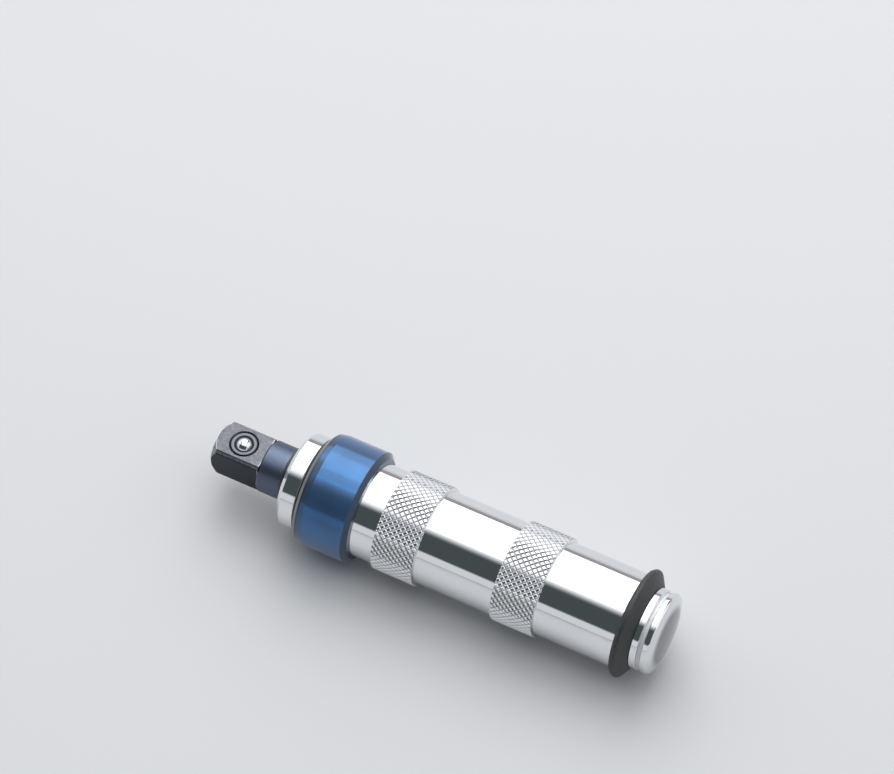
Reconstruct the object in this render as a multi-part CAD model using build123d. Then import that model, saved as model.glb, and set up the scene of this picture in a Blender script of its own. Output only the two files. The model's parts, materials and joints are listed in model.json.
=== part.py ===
from build123d import *
import math
import os

# Hand impact driver with a 12.7 mm square drive, in millimetres.
# The tool lies along X: the square drive points to -X, the striking head to +X, and Z is up.
# The origin is the centre of the flat tip of the square drive, on the tool's axis.
# Struck on its head, the barrel runs forward over the anvil, and the two drive pins that it
# carries run along a slanted side of the anvil's cam pockets, which turns the anvil.

os.makedirs("parts", exist_ok=True)

# Overrun of every cut past the surface that it opens.
overrun = 1.0

# Fits. Each is a gap on the radius or along the axis.
running_gap = 0.05
seat_gap = 0.05
pin_end_gap = 0.1
loose_gap = 0.3

# Square drive, milled from the round front of the anvil.
drive_square = 12.7
drive_length = 16.1
anvil_neck_d = 16.6
drive_tip_d = 13.2
drive_tip_bevel = 1.6
drive_shoulder_bevel = 0.55

# Sprung ball in the upper flat of the square.
ball_d = 5.6
ball_place = 8.3
ball_stands_out = 1.35
ball_travel = 1.2
retainer_d = 8.7
retainer_height = 2.2
retainer_bevel = 0.3
retainer_mouth_bevel = 0.45
ball_spring_wire_d = 0.55
ball_spring_turns = 5

# Nose: dust seal, front cap, bush and the washer that takes the anvil's return.
neck_shown = 8.0
seal_share = 0.18
seal_stands_out = 2.2
seal_lip_bevel = 0.35
cap_length = 6.1
cap_web = 2.7
cap_wall = 2.2
cap_bevel = 1.3
cap_rear_bevel = 0.3
bush_length = 3.8
return_washer_thickness = 1.0

# Barrel. The seal's and the bore's share say how far their radius lies from the neck's to
# the barrel's, and the collar seat's share how far it lies from the neck's to the collar's.
barrel_d = 30.0
bore_share = 0.33
barrel_edge_bevel = 0.4

# Collar over the drive pins, and the rings that seal it.
collar_d = 36.0
collar_seat_share = 0.55
collar_length = 18.2
collar_front_gap = 0.9
collar_front_bevel = 1.1
collar_front_taper = 2.3
collar_front_taper_depth = 0.4
collar_rear_bevel = 1.4
collar_rear_bevel_depth = 1.75
cap_ring_wire_d = 0.8
collar_ring_wire_d = 1.0
collar_ring_setback = 3.4

# Knurled grip bands.
knurl_d = 32.2
knurl_length = 14.3
knurl_end_bevel = 0.8
knurl_first_gap = 7.7
knurl_spacing = 40.0
knurl_count = 2
barrel_plain_rear = 25.8

# Drive pins and cam.
pin_d = 5.0
pin_end_bevel = 0.4
pin_from_collar_end = 4.7
pin_depth_in_pocket = 2.4
impact_stroke = 8.0
cam_turn = 25.0
cam_length_behind_pin = 9.6
pocket_side_gap = 0.15

# Main spring and its seats.
spring_wire_d = 3.4
spring_outside_gap = 0.6
spring_inside_gap = 0.4
spring_turns = 10
spring_length = 58.0
anvil_stem_length = 14.0
stem_bevel = 0.8
thrust_washer_thickness = 2.0
spring_seat_thickness = 2.0
spring_guide_length = 9.0

# Rubber guard ring behind the barrel.
guard_d = 34.6
guard_wall = 5.1
guard_width = 4.4
guard_front_bevel = 0.9
guard_front_bevel_depth = 0.6
guard_land = 0.9
guard_rear_taper_depth = 4.0
guard_round = 0.9

# Striking head, screwed into the barrel's rear.
head_d = 25.8
head_ridge_width = 2.35
head_groove_width = 1.3
head_groove_depth = 1.1
head_groove_round = 0.55
head_rear_ridge_width = 2.25
head_dome_height = 1.9
head_ridge_round = 0.4
head_dome_round = 1.4
head_ring_wire_d = 1.4
head_ring_setback = 4.0

# Radii that several pieces share.
neck_r = anvil_neck_d / 2
barrel_r = barrel_d / 2
collar_r = collar_d / 2
guard_r = guard_d / 2
seal_r = neck_r + (barrel_r - neck_r) * seal_share
bore_r = neck_r + (barrel_r - neck_r) * bore_share
nose_thread_r = barrel_r - cap_wall
collar_seat_r = neck_r + (collar_r - neck_r) * collar_seat_share
cam_r = bore_r - running_gap
spring_r = bore_r - spring_outside_gap
stem_r = spring_r - spring_wire_d - spring_inside_gap
shank_r = guard_r - guard_wall
pin_r = pin_d / 2
ball_r = ball_d / 2

# Places along the axis, from the drive's tip to the striking head.
seal_front_x = drive_length + neck_shown
cap_front_x = seal_front_x + seal_stands_out
cap_rear_x = cap_front_x + cap_length
barrel_front_x = cap_front_x + cap_web
bush_rear_x = barrel_front_x + bush_length
return_washer_rear_x = bush_rear_x + return_washer_thickness
cam_front_x = return_washer_rear_x + loose_gap
collar_front_x = cap_rear_x + collar_front_gap
collar_rear_x = collar_front_x + collar_length
pin_x = collar_rear_x - pin_from_collar_end
cam_rear_x = pin_x + cam_length_behind_pin
spring_front_x = cam_rear_x + thrust_washer_thickness
spring_rear_x = spring_front_x + spring_length
head_plug_x = spring_rear_x + spring_seat_thickness
knurl_first_x = collar_rear_x + knurl_first_gap
knurl_last_end_x = knurl_first_x + (knurl_count - 1) * knurl_spacing + knurl_length
barrel_rear_x = knurl_last_end_x + barrel_plain_rear
head_front_x = barrel_rear_x + guard_width
head_groove_x = head_front_x + head_ridge_width
head_rear_ridge_x = head_groove_x + head_groove_width
head_rim_x = head_rear_ridge_x + head_rear_ridge_width
head_end_x = head_rim_x + head_dome_height

# Ball seat: the ball is held where the retainer's throat is narrower than the ball.
ball_centre_z = drive_square / 2 + ball_stands_out - ball_r
mouth_r = math.sqrt(ball_r**2 - (drive_square / 2 - ball_centre_z) ** 2)
retainer_floor_z = drive_square / 2 - retainer_height

# The ball's spring closes up solid just as the ball reaches the end of its travel.
ball_spring_solid = (ball_spring_turns + 1) * ball_spring_wire_d
ball_spring_top_z = ball_centre_z - ball_r
ball_hole_floor_z = ball_spring_top_z - ball_travel - ball_spring_solid


def turned(outline, closing=None):
    """Solid turned about X from an outline of (place along X, radius) points.

    A third value of a point rounds its corner by that much, and closing is what joins
    the last point to the first where that isn't a straight line.
    """
    points = [(along, radius) for along, radius, *_ in outline]
    lines = Polyline(*points) + closing if closing else Polyline(*points, close=True)
    face = make_face(lines)
    for along, radius, *rounds in outline:
        for corner_round in rounds:
            corner = face.vertices().sort_by_distance((along, radius, 0))[0]
            face = fillet(corner, corner_round)
    return revolve(face, Axis.X, 360)


def rod(start, end, radius):
    """Plain round rod about X."""
    return turned([(start, 0), (end, 0), (end, radius), (start, radius)])


def ring(start, end, inner, outer):
    """Plain ring about X."""
    return turned([(start, inner), (end, inner), (end, outer), (start, outer)])


def ring_of_wire(place, centre_r, wire_d):
    """Round-section ring about X, such as an O-ring."""
    return Pos(place, 0, 0) * Rot(0, 90, 0) * Torus(centre_r, wire_d / 2)


def biarc(start, start_way, end, end_way):
    """Two arcs that leave start along start_way and reach end along end_way."""
    across = end - start
    ways = start_way + end_way
    square_term = 2 * (1 - start_way.dot(end_way))
    middle_term = 2 * across.dot(ways)
    root = math.sqrt(middle_term**2 + 4 * square_term * across.dot(across))
    reach = (root - middle_term) / (2 * square_term)
    join = (start + start_way * reach + end - end_way * reach) * 0.5
    first = TangentArc(start, join, tangent=start_way)
    second = TangentArc(join, end, tangent=first % 1)
    return [first.edge(), second.edge()]


def coil(start, end, centre_r, wire_d, turns):
    """Spring of round wire about X whose two ends are ground flat."""
    rise = (end - start) / (2 * math.pi * turns)
    steps = 2 * turns

    def point(index):
        angle = math.pi * index
        along = start + rise * angle
        return Vector(along, centre_r * math.cos(angle), centre_r * math.sin(angle))

    def way(index):
        angle = math.pi * index
        return Vector(rise, -centre_r * math.sin(angle), centre_r * math.cos(angle)).normalized()

    edges = []
    for index in range(steps):
        edges += biarc(point(index), way(index), point(index + 1), way(index + 1))
    path = Wire(edges)
    section = Plane(origin=point(0), z_dir=way(0)) * Circle(wire_d / 2)
    wound = sweep(section, path=path)
    return wound & rod(start, end, centre_r + wire_d)


def cam_pocket(pin_angle):
    """Three-cornered pocket that a drive pin runs in, for the pin at pin_angle about X.

    The two wide corners are where the pin starts when loosening and when tightening,
    and the point is where either way ends at the full stroke.
    """
    half_turn_reach = cam_r * math.sin(math.radians(cam_turn))
    round_r = pin_r / math.cos(math.radians(cam_turn)) + pocket_side_gap
    corners = [(pin_x, -half_turn_reach), (pin_x, half_turn_reach), (pin_x - impact_stroke, 0)]
    circles = [edge for place in corners for edge in (Pos(*place) * Circle(round_r)).edges()]
    prism = extrude(make_hull(circles), amount=cam_r + overrun)
    floor_r = cam_r - pin_depth_in_pocket - loose_gap
    prism -= rod(cam_front_x, cam_rear_x, floor_r)
    return Rot(pin_angle - cam_turn - 90, 0, 0) * prism


def anvil():
    """Output shaft in one piece: square drive, neck, cam with its pockets, spring stem."""
    tip_r = drive_tip_d / 2
    stem_end_x = cam_rear_x + anvil_stem_length
    body = turned(
        [
            (0, 0),
            (0, tip_r),
            (drive_tip_bevel, neck_r),
            (cam_front_x, neck_r),
            (cam_front_x, cam_r),
            (cam_rear_x, cam_r),
            (cam_rear_x, stem_r),
            (stem_end_x - stem_bevel, stem_r),
            (stem_end_x, stem_r - stem_bevel),
            (stem_end_x, 0),
        ]
    )
    neck_start = turned(
        [
            (0, 0),
            (drive_length, 0),
            (drive_length, neck_r - drive_shoulder_bevel),
            (drive_length + drive_shoulder_bevel, neck_r),
            (drive_length + drive_shoulder_bevel, neck_r + overrun),
            (0, neck_r + overrun),
        ]
    )
    square = extrude(
        Plane.YZ * Rectangle(drive_square, drive_square), amount=drive_length
    )
    body -= neck_start - square
    for pin_angle in (0, 180):
        body -= cam_pocket(pin_angle)
    hole_r = ball_r + running_gap
    seat_r = retainer_d / 2
    body -= upright(ball_hole_floor_z, drive_square / 2 + overrun, hole_r)
    body -= upright(retainer_floor_z, drive_square / 2 + overrun, seat_r)
    body -= countersink(seat_r, retainer_bevel)
    return body


def upright(low, high, radius):
    """Round rod along Z on the ball's own axis."""
    align = (Align.CENTER, Align.CENTER, Align.MIN)
    return Pos(ball_place, 0, low) * Cylinder(radius, high - low, align=align)


def countersink(radius, bevel):
    """Cone that bevels the edge of a hole of this radius in the upper flat."""
    align = (Align.CENTER, Align.CENTER, Align.MAX)
    cone = Cone(radius - bevel, radius + bevel, 2 * bevel, align=align)
    return Pos(ball_place, 0, drive_square / 2) * cone


def detent_ball():
    """Ball of the drive square."""
    return Pos(ball_place, 0, ball_centre_z) * Sphere(ball_r)


def detent_retainer():
    """Pressed ring whose throat holds the ball in, under a bevelled mouth."""
    top_z = drive_square / 2
    throat_z = top_z - retainer_mouth_bevel - ball_centre_z
    throat_r = math.sqrt((ball_r + running_gap) ** 2 - throat_z**2)
    outer_r = retainer_d / 2 - seat_gap
    body = upright(retainer_floor_z, top_z, outer_r)
    rim = body.edges().filter_by(GeomType.CIRCLE).sort_by(Axis.Z)[-1]
    body = chamfer(rim, retainer_bevel)
    body -= upright(retainer_floor_z - overrun, top_z + overrun, mouth_r + running_gap)
    body -= upright(retainer_floor_z - overrun, ball_centre_z, ball_r + running_gap)
    body -= Pos(ball_place, 0, ball_centre_z) * Sphere(ball_r + running_gap)
    body -= countersink(throat_r, retainer_mouth_bevel)
    return body


def detent_spring():
    """Small coil spring under the ball."""
    centre_r = ball_r - ball_spring_wire_d - running_gap
    ends = (ball_hole_floor_z, ball_spring_top_z)
    wound = coil(*ends, centre_r, ball_spring_wire_d, ball_spring_turns)
    return Pos(ball_place, 0, 0) * Rot(0, -90, 0) * wound


def nose_seal():
    """Dust seal round the neck, with its lip standing out of the front cap."""
    inner = neck_r + running_gap
    return turned(
        [
            (seal_front_x, inner),
            (barrel_front_x - seat_gap, inner),
            (barrel_front_x - seat_gap, seal_r),
            (seal_front_x + seal_lip_bevel, seal_r),
            (seal_front_x, seal_r - seal_lip_bevel),
        ]
    )


def front_cap():
    """Plated cap that holds the seal, the bush and the collar on the barrel."""
    hole = seal_r + seat_gap
    thread = nose_thread_r + seat_gap
    return turned(
        [
            (cap_front_x, hole),
            (barrel_front_x, hole),
            (barrel_front_x, thread),
            (cap_rear_x, thread),
            (cap_rear_x, barrel_r - cap_rear_bevel),
            (cap_rear_x - cap_rear_bevel, barrel_r),
            (cap_front_x + cap_bevel, barrel_r),
            (cap_front_x, barrel_r - cap_bevel),
        ]
    )


def front_bush():
    """Bronze bush that guides the neck."""
    return ring(barrel_front_x + seat_gap, bush_rear_x, neck_r + running_gap, bore_r - seat_gap)


def return_washer():
    """Washer that the anvil's shoulder returns to."""
    inner = neck_r + running_gap
    return ring(bush_rear_x, return_washer_rear_x, inner, bore_r - seat_gap)


def barrel():
    """Body of the tool: nose thread, collar seat, two raised grip bands, rear thread."""
    knurl_r = knurl_d / 2
    outline = [
        (barrel_front_x, bore_r),
        (barrel_front_x, nose_thread_r),
        (collar_front_x, nose_thread_r),
        (collar_front_x, collar_seat_r),
        (collar_rear_x, collar_seat_r),
        (collar_rear_x, barrel_r),
    ]
    for index in range(knurl_count):
        start = knurl_first_x + index * knurl_spacing
        end = start + knurl_length
        outline += [
            (start, barrel_r),
            (start + knurl_end_bevel, knurl_r),
            (end - knurl_end_bevel, knurl_r),
            (end, barrel_r),
        ]
    outline += [
        (barrel_rear_x - barrel_edge_bevel, barrel_r),
        (barrel_rear_x, barrel_r - barrel_edge_bevel),
        (barrel_rear_x, bore_r),
    ]
    body = turned(outline)
    for side in (1, -1):
        body -= drive_pin(side, pin_r + seat_gap, 0, overrun)
    groove_floor = collar_seat_r + seat_gap - collar_ring_wire_d
    groove_centre = collar_front_x + collar_ring_setback
    half_groove = collar_ring_wire_d / 2 + running_gap
    groove_top = collar_seat_r + overrun
    body -= ring(
        groove_centre - half_groove, groove_centre + half_groove, groove_floor, groove_top
    )
    return body


def drive_pin(side, radius, bevel, extra):
    """Radial pin at side +1 or -1 of the tool along Y, longer outwards by extra."""
    inner = cam_r - pin_depth_in_pocket
    outer = math.sqrt(collar_seat_r**2 - pin_r**2) - pin_end_gap + extra
    align = (Align.CENTER, Align.CENTER, Align.MIN)
    body = Cylinder(radius, outer - inner, align=align)
    if bevel:
        body = chamfer(body.edges().filter_by(GeomType.CIRCLE), bevel)
    return Pos(pin_x, 0, 0) * Rot(-90 * side, 0, 0) * Pos(0, 0, inner) * body


def collar():
    """Anodised collar that covers and traps the drive pins."""
    bore = collar_seat_r + seat_gap
    taper_r = collar_r - collar_front_taper_depth
    bevel_end_x = collar_front_x + collar_front_bevel
    return turned(
        [
            (collar_front_x, bore),
            (collar_rear_x, bore),
            (collar_rear_x, collar_r - collar_rear_bevel_depth),
            (collar_rear_x - collar_rear_bevel, collar_r),
            (bevel_end_x + collar_front_taper, collar_r),
            (bevel_end_x, taper_r),
            (collar_front_x, taper_r - collar_front_bevel),
        ]
    )


def cap_o_ring():
    """Black ring in the gap between the front cap and the collar."""
    centre = (cap_rear_x + collar_front_x) / 2
    return ring_of_wire(centre, nose_thread_r + cap_ring_wire_d / 2, cap_ring_wire_d)


def collar_o_ring():
    """Ring in the barrel's groove, under the collar's front end."""
    centre = collar_front_x + collar_ring_setback
    centre_r = collar_seat_r + seat_gap - collar_ring_wire_d / 2
    return ring_of_wire(centre, centre_r, collar_ring_wire_d)


def thrust_washer():
    """Hardened washer between the anvil and the main spring."""
    start = cam_rear_x + running_gap
    return ring(start, spring_front_x, stem_r + running_gap, cam_r)


def main_spring():
    """Heavy spring that pushes the anvil out again after each blow."""
    centre_r = spring_r - spring_wire_d / 2
    return coil(spring_front_x, spring_rear_x, centre_r, spring_wire_d, spring_turns)


def spring_seat():
    """Seat at the rear end of the main spring, with a short stem inside it."""
    start = spring_rear_x - spring_guide_length
    return turned(
        [
            (start, 0),
            (start, stem_r - stem_bevel),
            (start + stem_bevel, stem_r),
            (spring_rear_x, stem_r),
            (spring_rear_x, cam_r),
            (head_plug_x, cam_r),
            (head_plug_x, 0),
        ]
    )


def striking_head():
    """Plated head: plug in the barrel's bore, shank under the guard ring, two ridges, dome."""
    head_r = head_d / 2
    groove_r = head_r - head_groove_depth
    outline = [
        (head_plug_x, 0),
        (head_plug_x, bore_r),
        (barrel_rear_x, bore_r),
        (barrel_rear_x, shank_r),
        (head_front_x, shank_r),
        (head_front_x, head_r, head_ridge_round),
        (head_groove_x, head_r, head_ridge_round),
        (head_groove_x, groove_r, head_groove_round),
        (head_rear_ridge_x, groove_r, head_groove_round),
        (head_rear_ridge_x, head_r, head_ridge_round),
        (head_rim_x, head_r, head_dome_round),
    ]
    dome_r = (head_r**2 + head_dome_height**2) / (2 * head_dome_height)
    half_way = math.asin(head_r / dome_r) / 2
    crown_x = head_end_x - dome_r * (1 - math.cos(half_way))
    crown = ThreePointArc(
        (head_rim_x, head_r), (crown_x, dome_r * math.sin(half_way)), (head_end_x, 0)
    )
    axis_line = Line((head_end_x, 0), (head_plug_x, 0))
    body = turned(outline, closing=crown + axis_line)
    groove_centre = barrel_rear_x - head_ring_setback
    half_groove = head_ring_wire_d / 2 + running_gap
    floor_r = bore_r - running_gap - head_ring_wire_d
    body -= ring(
        groove_centre - half_groove, groove_centre + half_groove, floor_r, bore_r + overrun
    )
    return body


def head_o_ring():
    """Ring in the head's plug that keeps the grease in the barrel."""
    centre = barrel_rear_x - head_ring_setback
    centre_r = bore_r - running_gap - head_ring_wire_d / 2
    return ring_of_wire(centre, centre_r, head_ring_wire_d)


def guard_ring():
    """Rubber ring between the barrel and the striking head."""
    inner = shank_r + seat_gap
    land_x = barrel_rear_x + guard_front_bevel
    return turned(
        [
            (barrel_rear_x, inner),
            (head_front_x, inner),
            (head_front_x, guard_r - guard_rear_taper_depth),
            (land_x + guard_land, guard_r, guard_round),
            (land_x, guard_r),
            (barrel_rear_x, guard_r - guard_front_bevel_depth),
        ]
    )


def build():
    """Every piece of the tool by name, each in its own place."""
    return {
        "anvil": anvil(),
        "detent_ball": detent_ball(),
        "detent_retainer": detent_retainer(),
        "detent_spring": detent_spring(),
        "nose_seal": nose_seal(),
        "front_cap": front_cap(),
        "cap_o_ring": cap_o_ring(),
        "front_bush": front_bush(),
        "return_washer": return_washer(),
        "barrel": barrel(),
        "drive_pin_back": drive_pin(1, pin_r, pin_end_bevel, 0),
        "drive_pin_front": drive_pin(-1, pin_r, pin_end_bevel, 0),
        "collar": collar(),
        "collar_o_ring": collar_o_ring(),
        "thrust_washer": thrust_washer(),
        "main_spring": main_spring(),
        "spring_seat": spring_seat(),
        "striking_head": striking_head(),
        "head_o_ring": head_o_ring(),
        "guard_ring": guard_ring(),
    }


for name, shape in build().items():
    shape.label = name
    export_step(shape, f"parts/{name}.step")
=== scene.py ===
"""Finishes, knurling and studio for a hand impact driver with a square drive."""

import json
import math

import bmesh
import bpy
from mathutils import Matrix, Vector


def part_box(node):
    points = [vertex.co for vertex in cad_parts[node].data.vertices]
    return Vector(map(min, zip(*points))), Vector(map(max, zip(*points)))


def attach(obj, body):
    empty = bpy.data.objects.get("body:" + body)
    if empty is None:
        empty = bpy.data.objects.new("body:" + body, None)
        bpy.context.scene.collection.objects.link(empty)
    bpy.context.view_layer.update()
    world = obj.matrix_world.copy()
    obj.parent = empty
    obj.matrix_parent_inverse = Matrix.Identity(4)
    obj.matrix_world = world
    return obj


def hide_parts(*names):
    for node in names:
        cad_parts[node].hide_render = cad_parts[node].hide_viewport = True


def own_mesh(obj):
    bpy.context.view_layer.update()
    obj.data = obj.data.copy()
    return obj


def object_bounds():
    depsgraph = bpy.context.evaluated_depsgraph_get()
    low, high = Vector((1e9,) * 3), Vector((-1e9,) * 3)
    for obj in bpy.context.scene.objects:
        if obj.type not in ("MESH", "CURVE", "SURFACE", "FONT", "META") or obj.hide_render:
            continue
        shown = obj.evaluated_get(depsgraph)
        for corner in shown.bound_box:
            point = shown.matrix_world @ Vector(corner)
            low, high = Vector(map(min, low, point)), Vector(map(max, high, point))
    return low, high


bl_info = {
    "name": "Hand impact driver",
    "version": (1, 0, 0),
    "blender": (4, 5, 0),
    "location": "3D View > Sidebar > Driver",
    "description": "Finishes, diamond knurling and studio for a hand impact driver",
    "category": "Object",
}

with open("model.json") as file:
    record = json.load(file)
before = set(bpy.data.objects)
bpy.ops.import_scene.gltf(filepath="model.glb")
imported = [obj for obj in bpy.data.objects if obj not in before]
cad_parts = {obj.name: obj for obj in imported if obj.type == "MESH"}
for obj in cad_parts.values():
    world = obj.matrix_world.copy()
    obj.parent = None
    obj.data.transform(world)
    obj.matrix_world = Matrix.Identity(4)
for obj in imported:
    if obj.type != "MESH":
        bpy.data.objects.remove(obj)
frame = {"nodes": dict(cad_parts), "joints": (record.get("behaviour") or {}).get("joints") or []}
cad_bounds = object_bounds()

MM = 0.001

# Places on a CAD mesh that are nearer than this count as one.
CLOSE = 0.05 * MM

# Clearance of a piece in its seat.
FIT = 0.05 * MM

# Crests further apart than this are on two grip bands.
BAND_GAP = 20 * MM

# The colour sockets of a Mix node.
MIX_SHARE, MIX_FIRST, MIX_SECOND, MIX_RESULT = 0, 6, 7, 2


def reach(node):
    """Front end, rear end and largest radius of a turned CAD node about the tool's axis."""
    low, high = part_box(node)
    return low.x, high.x, high.z


def bands_of(node, plain_radius):
    """(start, end) along the axis of each raised band of a turned CAD node, at its foot."""
    level = (plain_radius + reach(node)[2]) / 2
    spots = [(v.co.x, math.hypot(v.co.y, v.co.z)) for v in frame["nodes"][node].data.vertices]
    crests = sorted(x for x, radius in spots if radius > level)
    feet = [x for x, radius in spots if abs(radius - plain_radius) < CLOSE]
    bands, start = [], crests[0]
    for here, after in zip(crests, crests[1:] + [math.inf]):
        if after - here > BAND_GAP:
            bands.append((max(x for x in feet if x < start), min(x for x in feet if x > here)))
            start = after
    return bands


barrel_front, barrel_rear, crest_radius = reach("barrel")
barrel_radius = reach("front_cap")[2]
collar_front, collar_rear, collar_radius = reach("collar")
head_end = reach("striking_head")[1]
grip_bands = bands_of("barrel", barrel_radius)


# Nodes


class Wire:
    """An output in a sum: each operator on it adds one Math node."""

    def __init__(self, bench, socket):
        self.bench, self.socket = bench, socket

    def __add__(self, other):
        return self.bench.math("ADD", self, other)

    def __radd__(self, other):
        return self.bench.math("ADD", other, self)

    def __sub__(self, other):
        return self.bench.math("SUBTRACT", self, other)

    def __rsub__(self, other):
        return self.bench.math("SUBTRACT", other, self)

    def __mul__(self, other):
        return self.bench.math("MULTIPLY", self, other)

    def __rmul__(self, other):
        return self.bench.math("MULTIPLY", other, self)

    def __truediv__(self, other):
        return self.bench.math("DIVIDE", self, other)

    def __rtruediv__(self, other):
        return self.bench.math("DIVIDE", other, self)

    def __abs__(self):
        return self.bench.math("ABSOLUTE", self)

    def __mod__(self, other):
        return self.bench.math("FLOORED_MODULO", self, other)

    def at_least(self, other):
        return self.bench.math("MAXIMUM", self, other)

    def at_most(self, other):
        return self.bench.math("MINIMUM", self, other)


class Part:
    """A node whose outputs are read by name or number."""

    def __init__(self, bench, node):
        self.bench, self.node = bench, node

    def __getitem__(self, key):
        return Wire(self.bench, self.node.outputs[key])


class Bench:
    """Adds nodes to one tree and links them."""

    def __init__(self, tree):
        self.tree = tree

    def add(self, kind, settings=None, inputs=None):
        """A node of this kind, with its settings made before its sockets are filled."""
        node = self.tree.nodes.new(kind)
        for key, value in (settings or {}).items():
            setattr(node, key, value)
        for key, value in (inputs or {}).items():
            if isinstance(value, Wire):
                self.tree.links.new(value.socket, node.inputs[key])
            else:
                node.inputs[key].default_value = value
        return Part(self, node)

    def math(self, operation, *values):
        return self.add("ShaderNodeMath", {"operation": operation}, dict(enumerate(values)))[0]

    def step(self, value, low, high):
        """0 below low, 1 above high and smooth between them. low may be the larger."""
        return self.add(
            "ShaderNodeMapRange",
            {"interpolation_type": "SMOOTHSTEP"},
            {"Value": value, "From Min": low, "From Max": high},
        )["Result"]

    def mix(self, share, first, second):
        """The first colour where share is 0 and the second where it is 1."""
        colors = {MIX_SHARE: share, MIX_FIRST: first, MIX_SECOND: second}
        return self.add("ShaderNodeMix", {"data_type": "RGBA"}, colors)[MIX_RESULT]

    def vector(self, x, y, z):
        return self.add("ShaderNodeCombineXYZ", None, {0: x, 1: y, 2: z})[0]

    def noise(self, place, scale, detail, roughness):
        """Soft noise from 0 to 1, scale in features per metre."""
        return self.add(
            "ShaderNodeTexNoise",
            None,
            {"Vector": place, "Scale": scale, "Detail": detail, "Roughness": roughness},
        )["Fac"]


def shade(color, share=1.0):
    """This colour with its alpha, darkened to a share of itself."""
    return (*[c * share for c in color], 1)


class Finish(Bench):
    """One material, with the places on the tool that its patterns follow."""

    def __init__(self, name):
        self.material = bpy.data.materials.new(name)
        self.material.use_nodes = True
        super().__init__(self.material.node_tree)
        self.tree.nodes.clear()
        self.place = self.add("ShaderNodeTexCoord")["Object"]
        split = self.add("ShaderNodeSeparateXYZ", None, {0: self.place})
        self.x, self.y, self.z = split["X"], split["Y"], split["Z"]
        self.radius = self.math("SQRT", self.y * self.y + self.z * self.z)
        self.turn = self.math("ARCTAN2", self.y, self.z)

    def lathe_lines(self, per_metre, wander=3.0):
        """Fine rings left by turning, which run round the axis and drift a little."""
        lines = self.vector(self.x * per_metre, self.radius * per_metre, self.turn * wander)
        return self.noise(lines, 1.0, 2.0, 0.6)

    def height(self, value, depth, normal=None):
        """Bump of this depth in metres."""
        inputs = {"Strength": 1.0, "Distance": depth, "Height": value}
        if normal:
            inputs["Normal"] = normal
        return self.add("ShaderNodeBump", None, inputs)["Normal"]

    def done(self, **sockets):
        """Ends the material in one Principled shader, its sockets named with underscores."""
        inputs = {key.replace("_", " "): value for key, value in sockets.items()}
        shader = self.add("ShaderNodeBsdfPrincipled", None, inputs)
        output = self.add("ShaderNodeOutputMaterial")
        self.tree.links.new(shader[0].socket, output.node.inputs["Surface"])
        return self.material


# Finishes


class Plate(Finish):
    """Bright chrome: a little wavy, with wiping haze and faint polishing rings."""

    def __init__(self, name, finishes):
        super().__init__(name)
        color = finishes.chrome_color
        along, across = 160.0, 900.0
        ring_depth, wave_depth = 0.0007 * MM, 0.005 * MM
        haze = self.noise(self.place, 70.0, 4.0, 0.6)
        wiping = self.vector(self.x * along, self.y * across, self.z * across)
        wipe = self.noise(wiping, 1.0, 3.0, 0.65)
        waves = self.noise(self.place, 420.0, 2.0, 0.5)
        self.tint = self.mix(haze, shade(color), shade(color, 0.93))
        self.rough = finishes.chrome_roughness + self.step(haze, 0.5, 0.8) * 0.05
        self.rough = self.rough + self.step(wipe, 0.6, 0.85) * 0.05
        rings = self.lathe_lines(5200.0)
        self.normal = self.height(rings, ring_depth, self.height(waves, wave_depth))


def chrome(finishes):
    """Plain bright plate."""
    f = Plate("bright_chrome_plate", finishes)
    return f.done(Base_Color=f.tint, Metallic=1.0, Roughness=f.rough, Normal=f.normal)


def head_chrome(finishes):
    """Bright plate with a satin groove and a dulled, lightly marked striking face, whose colour is
    painted dark as a dark reflection.
    """
    f = Plate("striking_head_plate", finishes)
    soft, mark_depth = 0.05 * MM, 0.006 * MM
    wall_top, wall_foot = 0.2 * MM, 0.4 * MM
    face_start, face_full = 1.3 * MM, 0.7 * MM
    ridge, start = finishes.head_radius, head_end - finishes.groove_from_end
    end = start + finishes.groove_width
    along = f.step(f.x, start - soft, start + soft)
    along = along * f.step(f.x, end, end - 2 * soft)
    groove = along * f.step(f.radius, ridge - wall_top, ridge - wall_foot)
    face = f.step(f.x, head_end - face_start, head_end - face_full)
    marks = f.step(f.noise(f.place, 520.0, 4.0, 0.65), 0.45, 0.75)
    # The face's dark colour is a painted dark reflection; its roughness and marks are the real
    # dulling.
    tint = f.mix(face * 0.9, f.tint, shade(finishes.dull_face_and_dark_reflection_color))
    rough = f.rough + groove * 0.68 + face * (0.08 + marks * 0.12)
    normal = f.height(marks * face, mark_depth, f.normal)
    return f.done(Base_Color=tint, Metallic=1.0, Roughness=rough, Normal=normal)


def knurled_chrome(finishes, knurl):
    """The same plate on the barrel, darker at the bottom of the grip's grooves: duller metal there,
    and painted shade in the colour.
    """
    f = Plate("knurled_chrome_plate", finishes)
    bevel, depth = knurl.end_bevel, knurl.depth
    band = 0.0
    for start, end in grip_bands:
        inside = f.step(f.x, start + 0.75 * bevel, start + bevel)
        band = band + inside * f.step(f.x, end - 0.75 * bevel, end - bevel)
    root = crest_radius - depth
    groove = band * f.step(f.radius, root + 0.5 * depth, root + 0.1 * depth)
    patchy = f.step(f.noise(f.place, 900.0, 3.0, 0.6), 0.1, 0.5)
    # Groove bottoms are darkened in colour: partly dull grime, partly painted shade where the
    # grooves are deep.
    grime_and_shade = groove * (0.3 + patchy * 0.4)
    tint = f.mix(grime_and_shade, f.tint, shade(finishes.groove_grime_and_shade_color))
    rough = f.rough + band * 0.08 + grime_and_shade * 0.3
    bare = 1.0 - grime_and_shade * 0.8
    return f.done(Base_Color=tint, Metallic=bare, Roughness=rough, Normal=f.normal)


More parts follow.
